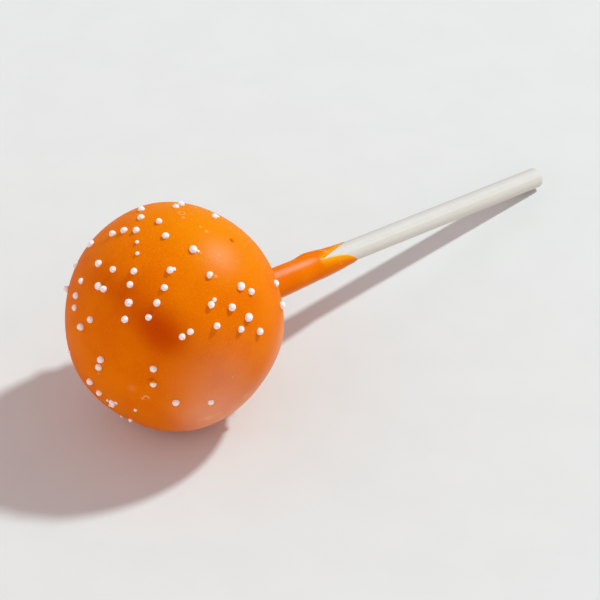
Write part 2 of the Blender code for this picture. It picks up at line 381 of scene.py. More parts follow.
# %% Rule for the bead places
SLEEVE_THICK = 0.0015
BEAD_DIAMETER = 0.00132
BEAD_RUNS = (  # how many beads, directions of the first and the last, size
    (2, (83, -27), (75, -20), 1),
    (2, (60, -6), (54, 0), 0.6),
    (2, (47, 7), (41, 11), 1),
    (2, (34, 22), (28, 32), 1),
    (2, (94, -13), (99, -14), 1),
    (1, (107, 4), (107, 4), 1),
    (2, (77, -7), (71, 5), 1),
    (1, (77, 20), (77, 20), 1),
    (3, (61, -28), (66, -14), 1),
    (2, (43, -27), (42, -9), 1),
    (2, (31, -17), (31, -8), 1),
    (3, (58, -48), (45, -79), 1),
    (3, (36, -46), (24, -62), 0.9),
    (2, (14, -23), (13, -60), 1),
    (4, (60, 23), (39, 42), 1),
    (1, (77, 36), (77, 36), 1),
    (2, (91, 47), (97, 51), 1),
    (2, (126, 52), (127, 66), 1),
    (1, (71, 50), (71, 50), 1),
    (1, (74, 48), (74, 48), 0.55),
    (2, (81, 55), (91, 62), 1.1),
    (3, (71, 61), (97, 71), 1),
    (2, (57, 60), (52, 62), 1),
    (2, (7, 106), (9, 143), 0.9),
    (3, (22, 187), (32, 160), 0.9),
    (2, (39, 139), (48, 159), 0.5),
    (2, (36, 84), (37, 98), 1),
    (2, (52, 109), (70, 106), 1),
    (1, (30, -125), (30, -125), 0.5),
)
RUN_WANDER = 0.35
SHOWN_SIDE = np.array((-0.65, -0.55, 0.53))
SCATTER_FROM = -0.25
SCATTERED_BEADS = 38
SCATTER_SPACING = 0.0030
BROKEN_SHARE, BROKEN_SIZE = 0.14, 0.62
FLOOR_CLEARANCE = 0.0004
BEAD_SEED = 2723


def height_above_table(point):
    """The resting height of a point given in the ball's axes."""
    return CENTRE_HEIGHT + point[2] * math.cos(TILT) - point[0] * math.sin(TILT)


def may_hold_a_bead(direction, radius, others):
    """True on the far side, clear of the sleeve, of the table and of other beads."""
    if direction @ SHOWN_SIDE > SCATTER_FROM:
        return False
    point = ball_points(direction)
    off_stick = math.hypot(point[1] - STICK_ASIDE, point[2])
    if point[0] > 0 and off_stick < STICK_RADIUS + SLEEVE_THICK + BEAD_DIAMETER:
        return False
    lowest = height_above_table(point + ball_normals(direction) * radius) - radius
    if lowest < FLOOR_CLEARANCE:
        return False
    return all(np.linalg.norm(point - ball_points(d)) > SCATTER_SPACING for d, _ in others)


def bead_radius(draw, size):
    """Half a bead's diameter. No two are quite alike."""
    return BEAD_DIAMETER / 2 * size * draw.uniform(0.88, 1.1)


def bead_places(draw):
    """(direction, radius) of each bead: the runs first, then the scatter."""
    places = []
    for count, first, last, size in BEAD_RUNS:
        for i in range(count):
            share = i / max(count - 1, 1)
            along, around = (a + (b - a) * share for a, b in zip(first, last))
            around += draw.gauss(0, RUN_WANDER) / math.sin(math.radians(along))
            along += draw.gauss(0, RUN_WANDER)
            places.append((direction_at(along, around), bead_radius(draw, size)))
    while len(places) < sum(run[0] for run in BEAD_RUNS) + SCATTERED_BEADS:
        along = math.degrees(math.acos(draw.uniform(-1, 1)))
        direction = direction_at(along, draw.uniform(-180, 180))
        radius = bead_radius(draw, BROKEN_SIZE if draw.random() < BROKEN_SHARE else 1)
        if may_hold_a_bead(direction, radius, places):
            places.append((direction, radius))
    return places


def beads_as_set(draw):
    """Arrays of each bead's centre, outward direction, radius, sizes and spin."""
    rows = []
    for direction, radius in bead_places(draw):
        outward = ball_normals(direction)
        centre = ball_points(direction) + outward * radius * draw.uniform(0.1, 0.45)
        sizes = (draw.uniform(0.92, 1.06), 1.0, draw.uniform(0.92, 1.06))
        rows.append((centre, outward, radius, sizes, draw.uniform(0, math.tau)))
    return tuple(np.array(column) for column in zip(*rows))


BEAD_CENTRES, BEAD_OUTWARD, BEAD_RADII, BEAD_SIZES, BEAD_SPINS = beads_as_set(
    random.Random(BEAD_SEED)
)
print(len(BEAD_RADII), "beads, mean diameter", round(2000 * BEAD_RADII.mean(), 2), "mm")

# %% [markdown]
# ## Relief on the ball
# Close to, the skin isn't perfect. It has slow waves from the dip, and a soft ridge down one
# side from the hands that rolled it. Small marks lie on it: rings left by burst bubbles, one
# of them only half there, pinhead bumps and two pits. It also creeps up a little round the
# foot of each bead. These are larger than the grain, so they are real shape, though a bump map
# would be quicker. The mesh starts as an icosphere, whose triangles are all about the same
# size and which has no poles, and only the triangles near a bead or a mark are split further:
# once round each bead, and within a reach that follows the size of each mark.

# %% Relief of the skin
WAVE_HEIGHT = 0.00003
WAVE_LENGTH = 0.006
BEAD_FOOT_RISE = 0.00007
BEAD_FOOT_SPREAD = 0.00020
BEAD_FOOT_REACH = 6  # spreads from the bead to where the rise is cut off
RIDGE = ((48, 14), (51, 43), (58, 65))  # directions along its crest
RIDGE_HEIGHT, RIDGE_SPREAD = 0.00022, 12
MARKS = (  # kind, direction in degrees, radius, height, tone: 1 is paler, -1 deeper
    ("ring", (90.9, -5.3), 0.00056, 0.00011, 0.60),
    ("bump", (88.4, -1.5), 0.00032, 0.00013, 0.8),
    ("bump", (94.7, -1.9), 0.00024, 0.00010, 0.6),
    ("bump", (90.9, 2.2), 0.00026, 0.00006, 0.35),
    ("bump", (90.9, 9.1), 0.00024, 0.00011, 0.8),
    ("bump", (91.6, 13.2), 0.00034, 0.00014, 0.9),
    ("bump", (79.3, 23.1), 0.00020, 0.00009, 0.8),
    ("bump", (97.0, 35.3), 0.00018, 0.00006, 0.5),
    ("bump", (79.7, 37.5), 0.00028, 0.00010, 1.0),
    ("bump", (79.2, 91.3), 0.00020, 0.00008, 0.7),
    ("bump", (13.4, 158.4), 0.00028, 0.00012, 0.6),
    ("bump", (28.2, 115.6), 0.00090, 0.00004, 0.30),
    # these four wide, low bumps are pale with painted glints of the lit table
    ("bump", (75.5, 121.3), 0.00110, 0.00005, 0.50),
    ("bump", (70.8, 123.7), 0.00070, 0.00005, 0.35),
    ("bump", (80.0, 118.0), 0.00060, 0.00005, 0.40),
    ("bump", (95.0, 109.4), 0.00080, 0.00005, 0.50),
    # these three are pale with painted highlight streaks of the softbox
    ("bump", (86.4, 25.6), 0.00034, 0.00004, 0.30),
    ("bump", (88.3, 28.2), 0.00040, 0.00004, 0.35),
    ("bump", (81.9, 27.4), 0.00030, 0.00003, 0.22),
    # the two pits are darkened with painted shade
    ("pit", (103.1, 22.2), 0.00042, -0.00030, -1.0),
    ("pit", (35.9, 95.6), 0.00050, -0.00020, -0.45),
    ("arch", (37.1, 116.4), 0.00046, 0.00016, 1.4),
    ("bump", (35.7, 119.6), 0.00026, 0.00008, 1.0),
)
RING_WIDTH = 0.28  # of a ring's radius
BALL_SUBDIVISIONS = 7
FINE_AROUND_BEAD = 0.00115
FINE_AROUND_MARK = 2.4  # times the mark's radius
FINEST_ON_MARK = 1.8
SMALL_MARK = 0.0006  # larger marks need no finest triangles


def wave_height(point):
    return WAVE_HEIGHT * noise.noise(Vector(point) / WAVE_LENGTH)


def mark_profile(kind, offset, radius):
    """A mark's relief from 0 to 1, from the offset to its middle. An arch is half a ring."""
    distance = np.linalg.norm(offset, axis=1)
    if kind in ("ring", "arch"):
        ring = falloff(distance - radius, RING_WIDTH * radius)
        return ring * np.clip(0.5 + offset[:, 2] / radius, 0, 1) if kind == "arch" else ring
    return falloff(distance, radius)


def marks_over(points):
    """(relief, tone) of all the marks at these points."""
    relief, tones = np.zeros((2, len(points)))
    for kind, at, radius, height, tone in MARKS:
        profile = mark_profile(kind, points - ball_points(direction_at(*at)), radius)
        relief += height * profile
        tones += tone * profile
    return relief, tones


def ridge_height(directions):
    return RIDGE_HEIGHT * sum(falloff(angle_between(directions, at), RIDGE_SPREAD) for at in RIDGE)


def skin_points(directions):
    """The ball's points with the waves, the marks and the rise round each bead."""
    points, normals = ball_points(directions), ball_normals(directions)
    relief = np.array([wave_height(point) for point in points])
    relief += ridge_height(directions) + marks_over(points)[0]
    for centre, outward, radius in zip(BEAD_CENTRES, BEAD_OUTWARD, BEAD_RADII):
        offset = points - centre
        aside = np.linalg.norm(offset - np.outer(offset @ outward, outward), axis=1)
        near = (offset**2).sum(1) < (radius + BEAD_FOOT_REACH * BEAD_FOOT_SPREAD) ** 2
        rise = BEAD_FOOT_RISE * np.exp(-np.maximum(aside - radius, 0) / BEAD_FOOT_SPREAD)
        relief += np.where(near, rise, 0)
    return points + normals * relief[:, None]


def split_near(shape, places, reaches):
    """Splits the edges that lie within its reach of any of the places."""
    points = ball_points(np.array([vert.co.normalized() for vert in shape.verts]))
    near = np.zeros(len(points), bool)
    for place, reach in zip(places, reaches):
        near |= ((points - place) ** 2).sum(1) < reach**2
    shape.verts.ensure_lookup_table()
    edges = [e for e in shape.edges if near[e.verts[0].index] and near[e.verts[1].index]]
    bmesh.ops.subdivide_edges(shape, edges=edges, cuts=1, use_grid_fill=True)
    bmesh.ops.triangulate(shape, faces=[f for f in shape.faces if len(f.verts) > 3])
    shape.verts.index_update()


def make_ball():
    shape = bmesh.new()
    bmesh.ops.create_icosphere(shape, subdivisions=BALL_SUBDIVISIONS, radius=1)
    marks = [ball_points(direction_at(*at)) for _, at, _, _, _ in MARKS]
    sizes = np.array([radius for _, _, radius, _, _ in MARKS])
    places = [*BEAD_CENTRES, *marks]
    split_near(shape, places, [FINE_AROUND_BEAD] * len(places))
    split_near(shape, marks, FINE_AROUND_MARK * sizes)
    split_near(shape, marks, np.where(sizes < SMALL_MARK, FINEST_ON_MARK * sizes, 0))
    directions = np.array([vert.co.normalized() for vert in shape.verts])
    for vert, place in zip(shape.verts, skin_points(directions)):
        vert.co = place
    mesh = bpy.data.meshes.new("coating")
    shape.to_mesh(mesh)
    shape.free()
    mesh.shade_smooth()
    mesh.materials.append(candy_coating)
    return new_object("coating", mesh)


coating = make_ball()
print("ball:", len(coating.data.polygons), "triangles")

# %% [markdown]
# ## The sleeve on the stick
# When the pop is lifted out of the melted coating, some of it stays on the stick below the
# ball. It sets as a sleeve, thin on the upper side and thick below, and it ends in two
# tongues with a notch between them and a second run of coating on top. Unrolled, the sleeve
# is a sheet whose edge is one curve of reach against angle, so its thickness is a function of
# the distance to that curve: full inside, rounded off at the edge, and below the paper
# outside. Fine lines in it, such as the crease beside the second run, are distances from a
# line on the same sheet, and take a little off or add a little.

# %% Thickness of the sleeve
SLEEVE_ROOT = 0.0165
SLEEVE_EDGE = (  # angle in degrees and reach, once round from the notch
    (33, 0.0350),
    (38, 0.0377),
    (54, 0.0408),
    (85, 0.0428),
    (128, 0.0441),  # the lower tongue
    (180, 0.0434),
    (250, 0.0416),
    (318, 0.0431),  # the upper tongue
    (356, 0.0401),
    (380, 0.0368),
    (393, 0.0350),
)
EDGE_STEPS = 12
SLEEVE_THIN = 0.00040
TONGUE_TAPER = (0.0355, 0.0415)  # the upper tongue thins out from here to here
TONGUE_THINNEST = 0.2
THICK_SIDE = 136
THINS_OVER = 0.0065
LIP = 0.0006
DRIP_ANGLE, DRIP_REACH = -38, 0.0325
DRIP_HEIGHT, DRIP_WIDTH = 0.00038, 34
DRIP_RISE, DRIP_FALL = 0.0017, 0.0032
SLEEVE_LINES = (  # from and to (angle, reach), width, depth, tone
    ((-8, 0.0310), (14, 0.0352), 0.00022, 0.00013, 0.0),  # the crease beside the run on top
    ((-22, 0.0358), (12, 0.0369), 0.00018, -0.00003, 0.7),  # a slight ridge past it, pale with a painted glint
    ((64, 0.0384), (92, 0.0389), 0.00011, -0.00004, 0.4),  # one across the lower tongue
    ((33, 0.0342), (33, 0.0352), 0.00016, 0.0, 0.9),  # a thin pale film before the notch
    ((-42, 0.0298), (-34, 0.0340), 0.00070, 0.0, -0.3),  # painted shade along the crest of the run
)
ROOT_FILLET, ROOT_FILLET_LENGTH = 0.0004, 0.0012
BELOW_PAPER = -0.00012


def smooth_curve(points, steps):
    """Points on a smooth curve through these ones, so many steps to each stretch."""
    points = np.array(points, float)
    before, after = 2 * points[0] - points[1], 2 * points[-1] - points[-2]
    padded = np.vstack((before, points, after))
    t = np.linspace(0, 1, steps, endpoint=False)[:, None]
    stretches = [
        p1
        + (p2 - p0) * t / 2
        + (2 * p0 - 5 * p1 + 4 * p2 - p3) * t**2 / 2
        + (3 * p1 - p0 - 3 * p2 + p3) * t**3 / 2
        for p0, p1, p2, p3 in zip(padded, padded[1:], padded[2:], padded[3:])
    ]
    return np.vstack((*stretches, points[-1]))


def off_line(angles, reaches, start, end):
    """Distance from a line between two places on the unrolled paper."""
    arc = math.radians(1) * STICK_RADIUS
    start, end = np.array(start) * (arc, 1), np.array(end) * (arc, 1)
    here = np.stack((angles * arc, reaches), -1)
    along = end - start
    share = ((here - start) @ along / (along @ along)).clip(0, 1)
    gap = here - start - share[..., None] * along
    return np.hypot(gap[..., 0], gap[..., 1])


def lines_over(angles, reaches):
    """(depth, tone) of the lines in the sleeve at these places."""
    wrapped = (angles + 180) % 360 - 180
    depth, tones = np.zeros((2, *angles.shape))
    for start, end, width, deep, tone in SLEEVE_LINES:
        profile = falloff(off_line(wrapped, reaches, start, end), width)
        depth += deep * profile
        tones += tone * profile
    return depth, tones


def inside_edge(angles, reaches):
    """Distance from the sleeve's edge over the unrolled paper, negative outside it."""
    edge = smooth_curve(SLEEVE_EDGE, EDGE_STEPS)
    angles = (angles - edge[0, 0]) % 360 + edge[0, 0]
    nearest = np.full(angles.shape, np.inf)
    for turn in (-360, 0, 360):
        line = edge + (turn, 0)
        for start, end in zip(line[:-1], line[1:]):
            nearest = np.minimum(nearest, off_line(angles, reaches, start, end))
    covered = reaches < np.interp(angles, *edge.T)
    return np.where(covered, nearest, -nearest)


def sleeve_thickness(angles, reaches):
    """The coating's thickness on the stick, rounded off to nothing at its edge."""
    distance = inside_edge(angles, reaches)
    inner = np.maximum(distance, 0)
    heavy = (1 + np.cos(np.radians(angles - THICK_SIDE))) / 2
    extra = (SLEEVE_THICK - SLEEVE_THIN) * heavy * (1 - np.exp(-inner / THINS_OVER))
    off_drip = (angles - DRIP_ANGLE + 180) % 360 - 180
    drip_length = np.where(reaches < DRIP_REACH, DRIP_RISE, DRIP_FALL)
    past_drip = (reaches - DRIP_REACH) / drip_length
    drip = DRIP_HEIGHT * np.exp(-((off_drip / DRIP_WIDTH) ** 2) - past_drip**2)
    thin = SLEEVE_THIN * np.interp(reaches, TONGUE_TAPER, (1, TONGUE_THINNEST))
    beyond_ball = np.maximum(reaches - BALL_SEMI_AXES[0], 0)
    fillet = ROOT_FILLET * np.exp(-beyond_ball / ROOT_FILLET_LENGTH)
    lip = np.sqrt(1 - (1 - np.minimum(inner / LIP, 1)) ** 2)
    coat = thin + extra + drip + fillet - lines_over(angles, reaches)[0]
    return np.where(distance > 0, coat * lip, BELOW_PAPER)


NEAR_BALL = 0.024
thickest = float(sleeve_thickness(np.array(THICK_SIDE), np.array(NEAR_BALL)))
print("sleeve at its thick side, near the ball:", round(thickest * 1000, 2), "mm")

# %% [markdown]
# ## One coating, with a hole for the stick
# On the real thing the sleeve and the ball are one shell. The sleeve starts as a fine tube
# with the thickness from above, which a Boolean joins to the ball. A second Boolean cuts the
# stick's hole, which trims the tube exactly at its edge, because it is below the paper there.
# A plane then cuts the small flat spot that the ball rests on. Modelling the edge by hand
# would need a new mesh for every change of its curve.

# %% Tube for the sleeve
SLEEVE_SIDES = 200
COARSE_STEP, FINE_STEP = 0.0005, 0.00012
FINE_FROM = 0.0285
SLEEVE_END = 0.0455


def on_stick(angles, reaches, radii):
    """Points beside the stick's axis, in the ball's axes."""
    turn = np.radians(angles)
    return np.stack((reaches, STICK_ASIDE - radii * np.sin(turn), radii * np.cos(turn)), -1)


def tube_faces(rings, sides):
    """Triangles between rings of points, and a closing fan at each end."""
    index = np.arange(rings * sides).reshape(rings, sides)
    following = np.roll(index, -1, axis=1)
    here, beside, across, ahead = index[:-1], following[:-1], following[1:], index[1:]
    halves = np.stack((here, beside, across, here, across, ahead), -1)
    first, last = rings * sides, rings * sides + 1
    caps = [(first, b, a) for a, b in zip(index[0], following[0])]
    caps += [(last, a, b) for a, b in zip(index[-1], following[-1])]
    return [*halves.reshape(-1, 3).tolist(), *caps]


def make_tube(name, angles, reaches, radii, surface):
    """A closed tube on the stick's axis, from a grid of radii."""
    grid = on_stick(angles, reaches, radii)
    ends = on_stick(np.zeros(2), np.array((reaches[0, 0], reaches[-1, 0])), np.zeros(2))
    points = np.vstack((grid.reshape(-1, 3), ends))
    return add_object(name, points, tube_faces(*grid.shape[:2]), surface)


def make_sleeve():
    coarse = np.arange(SLEEVE_ROOT, FINE_FROM, COARSE_STEP)
    fine = np.arange(FINE_FROM, SLEEVE_END, FINE_STEP)
    turns = np.arange(SLEEVE_SIDES) * 360 / SLEEVE_SIDES
    reaches, angles = np.meshgrid(np.concatenate((coarse, fine)), turns, indexing="ij")
    radii = STICK_RADIUS + sleeve_thickness(angles, reaches)
    return make_tube("sleeve", angles, reaches, radii, candy_coating)


sleeve = make_sleeve()
print("sleeve:", len(sleeve.data.polygons), "faces")

# %% Join the ball and the sleeve, cut the stick's hole and the flat spot
HOLE_RADIUS = STICK_RADIUS - 0.00002  # the coating grips the paper, with no gap to see into
HOLE_SIDES = 200
HALF_A_STEP = 0.5  # turns the hole's corners away from the tube's, so that none coincide
SHARP_EDGE = math.radians(50)


def apply_boolean(target, operation, other):
    """Applies one Boolean to the target and removes the other object."""
    joined = target.modifiers.new(operation.lower(), "BOOLEAN")
    joined.operation = operation
    joined.solver = "EXACT"
    joined.object = other
    apply_modifiers(target)
    bpy.data.objects.remove(other)


def make_hole_cutter():
    start = STICK_REACH - STICK_LENGTH
    turns = (np.arange(HOLE_SIDES) + HALF_A_STEP) * 360 / HOLE_SIDES
    reaches, angles = np.meshgrid((start, STICK_REACH), turns, indexing="ij")
    return make_tube("hole", angles, reaches, np.full(angles.shape, HOLE_RADIUS), candy_coating)


def cut_flat_spot(target):
    """Slices off what would be below the table, and closes the cut."""
    down = Vector((math.sin(TILT), 0, -math.cos(TILT)))
    shape = bmesh.new()
    shape.from_mesh(target.data)
    found = bmesh.ops.bisect_plane(
        shape,
        geom=[*shape.verts, *shape.edges, *shape.faces],
        plane_co=down * CENTRE_HEIGHT,
        plane_no=down,
        clear_outer=True,
    )
    rim = [e for e in found["geom_cut"] if isinstance(e, bmesh.types.BMEdge)]
    bmesh.ops.contextual_create(shape, geom=rim)
    bmesh.ops.triangulate(shape, faces=[f for f in shape.faces if len(f.verts) > 4])
    shape.to_mesh(target.data)
    shape.free()


apply_boolean(coating, "UNION", sleeve)
apply_boolean(coating, "DIFFERENCE", make_hole_cutter())
cut_flat_spot(coating)
coating.data.set_sharp_from_angle(angle=SHARP_EDGE)
print("coating:", len(coating.data.polygons), "faces")

# %% [markdown]
# ## Where the coating changes
# The material reads five values at each point of the finished mesh: how thin the coat is
# towards the sleeve's edge, how much painted shade lies where the shadow edge crosses the
# ball, how much painted light lies on the side towards the softbox, how much painted
# reflection it has, and the tone of any mark. Painting them by hand would tie them to one
# mesh. They are formulas of the place instead, mostly sums of soft round spots, so they can
# be read at each point and stored as attributes. The mesh is then laid down in the frame.

# %% Where the sleeve thins out
EDGE_FADE = 0.0010  # how far from its edge the sleeve is still golden
GOLDEN_SIDES = (  # how golden its edge is, by angle round the stick
    (-42, 0.5),
    (0, 0.65),
    (28, 0.85),
    (40, 1.0),
    (75, 1.0),
    (105, 0.3),
    (240, 0.3),
    (318, 0.5),
)
TIP_ANGLE, TIP_SPREAD = 128, 22  # the lower tongue's tip is deeper
TIP_TONE = -0.55


def turn_round_stick(points):
    """Each point's angle round the stick, in degrees from the top."""
    return np.degrees(np.arctan2(STICK_ASIDE - points[:, 1], points[:, 2]))


def thinness_at(points):
    """1 at the sleeve's very edge, falling to 0 inside it and all over the ball."""
    off_axis = np.hypot(points[:, 1] - STICK_ASIDE, points[:, 2])
    on_sleeve = (points[:, 0] > FINE_FROM) & (off_axis < 2 * STICK_RADIUS)
    angles = turn_round_stick(points)[on_sleeve]
    distance = np.maximum(inside_edge(angles, points[on_sleeve, 0]), 0)
    found = np.zeros(len(points))
    golden = np.interp(angles, *np.array(GOLDEN_SIDES).T, period=360)
    found[on_sleeve] = golden * np.exp(-distance / EDGE_FADE)
    return found


def sleeve_tone_at(points, thinness):
    """Below 0 round the edge of the lower tongue's tip, above it along the lines."""
    angles = turn_round_stick(points)
    lines = lines_over(angles, points[:, 0])[1]
    return TIP_TONE * falloff(angles - TIP_ANGLE, TIP_SPREAD) * np.minimum(3 * thinness, 1) + lines


# %% Spots of painted reflection, of painted light and of painted shade
# painted shade where the shadow edge crosses the shown side of the ball
PAINTED_SHADE_SPOTS = (  # direction, share, spread in degrees
    ((46, 61), 0.62, 13),
    ((40, 43), 0.50, 11),
    ((37, 13), 0.40, 12),
    ((39, -13), 0.30, 9),
)
# painted light on the side towards the softbox
PAINTED_LIGHT_SPOTS = (((100, 6), 0.70, 42),)
# painted reflections of the lit table, low on the right and along the right rim; at (90, 28) a
# painted highlight
PAINTED_REFLECTION_SPOTS = (
    ((72, 94), 0.21, 22),
    ((86, 112), 0.14, 14),
    ((70, 120), 0.20, 14),
    ((90, 28), 0.15, 12),
    ((124, 90), 0.26, 14),
    ((112, 112), 0.28, 13),
    ((100, 127), 0.34, 13),
    ((80, 138), 0.30, 12),
)
SLEEVE_REFLECTION_STREAKS = (  # angle round the stick, share, spread in degrees, where it ends
    # painted reflection of the table along the underside
    (141, 0.60, 25, 0.060),
    # painted highlight along the upper side
    (24, 0.30, 15, 0.036),
)
STREAK_FADE = 0.006
ROOT_FADE = 0.002  # from the spots on the ball to the streaks on the sleeve


def spots_at(points, spots):
    """The sum of some soft round spots on the ball."""
    directions = points / np.linalg.norm(points, axis=1, keepdims=True)
    return sum(share * falloff(angle_between(directions, at), spread) for at, share, spread in spots)


def smooth_rise(values, start, end):
    """0 below start, 1 above end, smooth between them."""
    share = np.clip((values - start) / (end - start), 0, 1)
    return share**2 * (3 - 2 * share)


def painted_reflection_at(points):
    """How much painted reflection lies on the skin: spots on the ball, streaks along the sleeve."""
    angles, reaches = turn_round_stick(points), points[:, 0]
    on_sleeve = smooth_rise(reaches, BALL_SEMI_AXES[0], BALL_SEMI_AXES[0] + ROOT_FADE)
    streaks = np.zeros(len(points))
    for angle, share, spread, end in SLEEVE_REFLECTION_STREAKS:
        fade = 1 - smooth_rise(reaches, end - STREAK_FADE, end)
        streaks += share * fade * falloff(angles - angle, spread)
    return spots_at(points, PAINTED_REFLECTION_SPOTS) * (1 - on_sleeve) + streaks * on_sleeve


# %% Store the values and lay the coating down
coating_points = coordinates(coating.data)
thinness = thinness_at(coating_points)
tone = marks_over(coating_points)[1] + sleeve_tone_at(coating_points, thinness)
# painted light, painted shade and painted reflection are stored here with the thinness and the marks
for name, values in (
    ("thinness", thinness),
    ("painted_core_shade", spots_at(coating_points, PAINTED_SHADE_SPOTS)),
    ("painted_lit_side", spots_at(coating_points, PAINTED_LIGHT_SPOTS)),
    ("painted_reflection", painted_reflection_at(coating_points)),
    ("mark_tone", tone),
):
    add_attribute(coating.data, name, values)
    print(name, "from", round(float(values.min()), 2), "to", round(float(values.max()), 2))
coating.data.transform(LAY_DOWN)

# %% [markdown]
# ## The sugar's finish
# Nonpareils are tiny balls of white sugar, a little over a millimetre across. They are hard
# and chalky, and light soaks into them, which softens their shaded side. A few are smeared
# with coating up one side. Each bead could have a material of its own, but a smear is only a
# second color that climbs from the side it starts on, so one material reads how far it has
# climbed at each point and lets noise break its edge.

# %% Sugar bead material
SUGAR_WHITE = (0.965, 0.870, 0.850, 1)
SUGAR_SHADE = (0.935, 0.810, 0.780, 1)
SMEARED_ORANGE = (0.900, 0.430, 0.010, 1)
CHALK_PER_METRE, SMEAR_PER_METRE = 5200.0, 2400.0
CHALK_DEPTH = 0.00003


def make_sugar():
    made, tree, shader, place = new_material("white_sugar_beads")
    chalk = noise_field(tree, place, CHALK_PER_METRE, 3)
    color = mix_colors(tree, smooth_step(tree, chalk, 0.40, 0.75), SUGAR_WHITE, SUGAR_SHADE)
    ragged = noise_field(tree, place, SMEAR_PER_METRE, 1)
    smear = calculate(tree, "ADD", carried(tree, "coating_climb"), ragged)
    surface = {
        "Base Color": mix_colors(tree, smooth_step(tree, smear, 0.78, 0.90), color, SMEARED_ORANGE),
        "Normal": fine_relief(tree, chalk, 0.6, CHALK_DEPTH),
        "Roughness": 0.5,
        "Specular IOR Level": 0.4,
        "Subsurface Weight": 0.55,
        "Subsurface Radius": (1.0, 0.55, 0.50),
        "Subsurface Scale": 0.0005,
    }
    wire(tree, shader, surface)
    return made


sugar = make_sugar()
print("material", sugar.name, "nodes", len(sugar.node_tree.nodes))

# %% [markdown]
# ## The sugar beads
# No bead is quite round. Their places are known already, so they are a cloud of points with a
# size, a direction and a spin each. Geometry Nodes put a bead on every point, which is the
# natural tool for one small thing repeated many times: instances first, made real so that
# each can have lumps of its own. The lumps come from noise that each bead lies in at another
# place, so one setting shapes them all and still no two are alike.

# %% Inputs and small helpers of the bead tree
BEAD_INPUTS = {  # name: (socket type, value)
    "Bead Subdivisions": ("NodeSocketInt", 4),
    "Lump Height": ("NodeSocketFloat", 0.09),  # a share of the bead's radius
    "Lumps per Metre": ("NodeSocketFloat", 1500.0),
    "Lump Seed": ("NodeSocketInt", 7),
    "Sugar": ("NodeSocketMaterial", sugar),
}


def read_attribute(tree, name, kind="FLOAT"):
    node = add_node(tree, "GeometryNodeInputNamedAttribute", {"Name": name}, data_type=kind)
    return node.outputs["Attribute"]


def scaled(tree, vector, scale):
    inputs = {0: vector, "Scale": scale}
    return add_node(tree, "ShaderNodeVectorMath", inputs, operation="SCALE").outputs["Vector"]


def store(tree, geometry, name, value, kind):
    node = add_node(
        tree,
        "GeometryNodeStoreNamedAttribute",
        {"Geometry": geometry, "Name": name, "Value": value},
        data_type=kind,
        domain="POINT",
    )
    return node.outputs["Geometry"]


# %% Geometry Nodes tree for the beads


def beads_on_points(tree, given, position, radius):
    """One ball on each point, turned, spun and sized, and made real."""
    points = add_node(tree, "GeometryNodeMeshToPoints", {"Mesh": given["Geometry"]})
    centred = store(tree, points.outputs[0], "bead_centre", position, "FLOAT_VECTOR")
    ball = add_node(
        tree,
        "GeometryNodeMeshIcoSphere",
        {"Radius": 1.0, "Subdivisions": given["Bead Subdivisions"]},
    )
    outward = read_attribute(tree, "bead_outward", "FLOAT_VECTOR")
    facing = add_node(tree, "FunctionNodeAlignRotationToVector", {"Vector": outward}, axis="Z")
    spin = add_node(tree, "ShaderNodeCombineXYZ", {"Z": read_attribute(tree, "bead_spin")})
    turned = add_node(
        tree,
        "FunctionNodeRotateRotation",
        {0: facing.outputs[0], 1: spin.outputs[0]},
        rotation_space="LOCAL",
    )
    copies = add_node(
        tree,
        "GeometryNodeInstanceOnPoints",
        {
            "Points": centred,
            "Instance": ball.outputs["Mesh"],
            "Rotation": turned.outputs[0],
            "Scale": scaled(tree, read_attribute(tree, "bead_sizes", "FLOAT_VECTOR"), radius),
        },
    )
    return add_node(tree, "GeometryNodeRealizeInstances", {"Geometry": copies.outputs[0]}).outputs[0]


def lumpy(tree, given, beads, position, from_centre):
    """The beads with lumps, each point moved out or in from its bead's centre."""
    lumps = add_node(
        tree,
        "ShaderNodeTexNoise",
        {
            "Vector": position,
            "W": given["Lump Seed"],
            "Scale": given["Lumps per Metre"],
            "Detail": 1.0,
        },
        noise_dimensions="4D",
    )
    centred = calculate(tree, "SUBTRACT", lumps.outputs[0], 0.5)
    swelling = calculate(tree, "MULTIPLY", centred, given["Lump Height"])
    inputs = {"Geometry": beads, "Offset": scaled(tree, from_centre, swelling)}
    return add_node(tree, "GeometryNodeSetPosition", inputs).outputs[0]


def make_bead_tree():
    tree = bpy.data.node_groups.new("sugar_bead_sprinkle", "GeometryNodeTree")
    tree.interface.new_socket("Geometry", in_out="INPUT", socket_type="NodeSocketGeometry")
    tree.interface.new_socket("Geometry", in_out="OUTPUT", socket_type="NodeSocketGeometry")
    for name, (kind, _) in BEAD_INPUTS.items():
        tree.interface.new_socket(name, in_out="INPUT", socket_type=kind)
    given = add_node(tree, "NodeGroupInput").outputs
    position = add_node(tree, "GeometryNodeInputPosition").outputs[0]
    radius = read_attribute(tree, "bead_radius")
    centre = read_attribute(tree, "bead_centre", "FLOAT_VECTOR")
    side = read_attribute(tree, "smear_side", "FLOAT_VECTOR")
    from_centre = add_node(
        tree, "ShaderNodeVectorMath", {0: position, 1: centre}, operation="SUBTRACT"
    ).outputs["Vector"]
    up_the_side = add_node(
        tree, "ShaderNodeVectorMath", {0: from_centre, 1: side}, operation="DOT_PRODUCT"
    ).outputs["Value"]

    beads = beads_on_points(tree, given, position, radius)
    beads = lumpy(tree, given, beads, position, from_centre)
    climb = calculate(tree, "DIVIDE", up_the_side, radius)
    beads = store(tree, beads, "coating_climb", climb, "FLOAT")
    smooth = add_node(tree, "GeometryNodeSetShadeSmooth", {"Geometry": beads}).outputs[0]
    inputs = {"Geometry": smooth, "Material": given["Sugar"]}
    finished = add_node(tree, "GeometryNodeSetMaterial", inputs).outputs[0]
    add_node(tree, "NodeGroupOutput", {"Geometry": finished})
    return tree


bead_tree = make_bead_tree()
print("bead tree:", len(bead_tree.nodes), "nodes")

# %% [markdown]
# ## Crumbs
# Some beads break as they are sprinkled. Their crumbs lie beside whole beads, in one small
# clump and here and there. A crumb is made by the same tree: it is one more point in the
# cloud, smaller, flatter and sunk deeper in the coating.

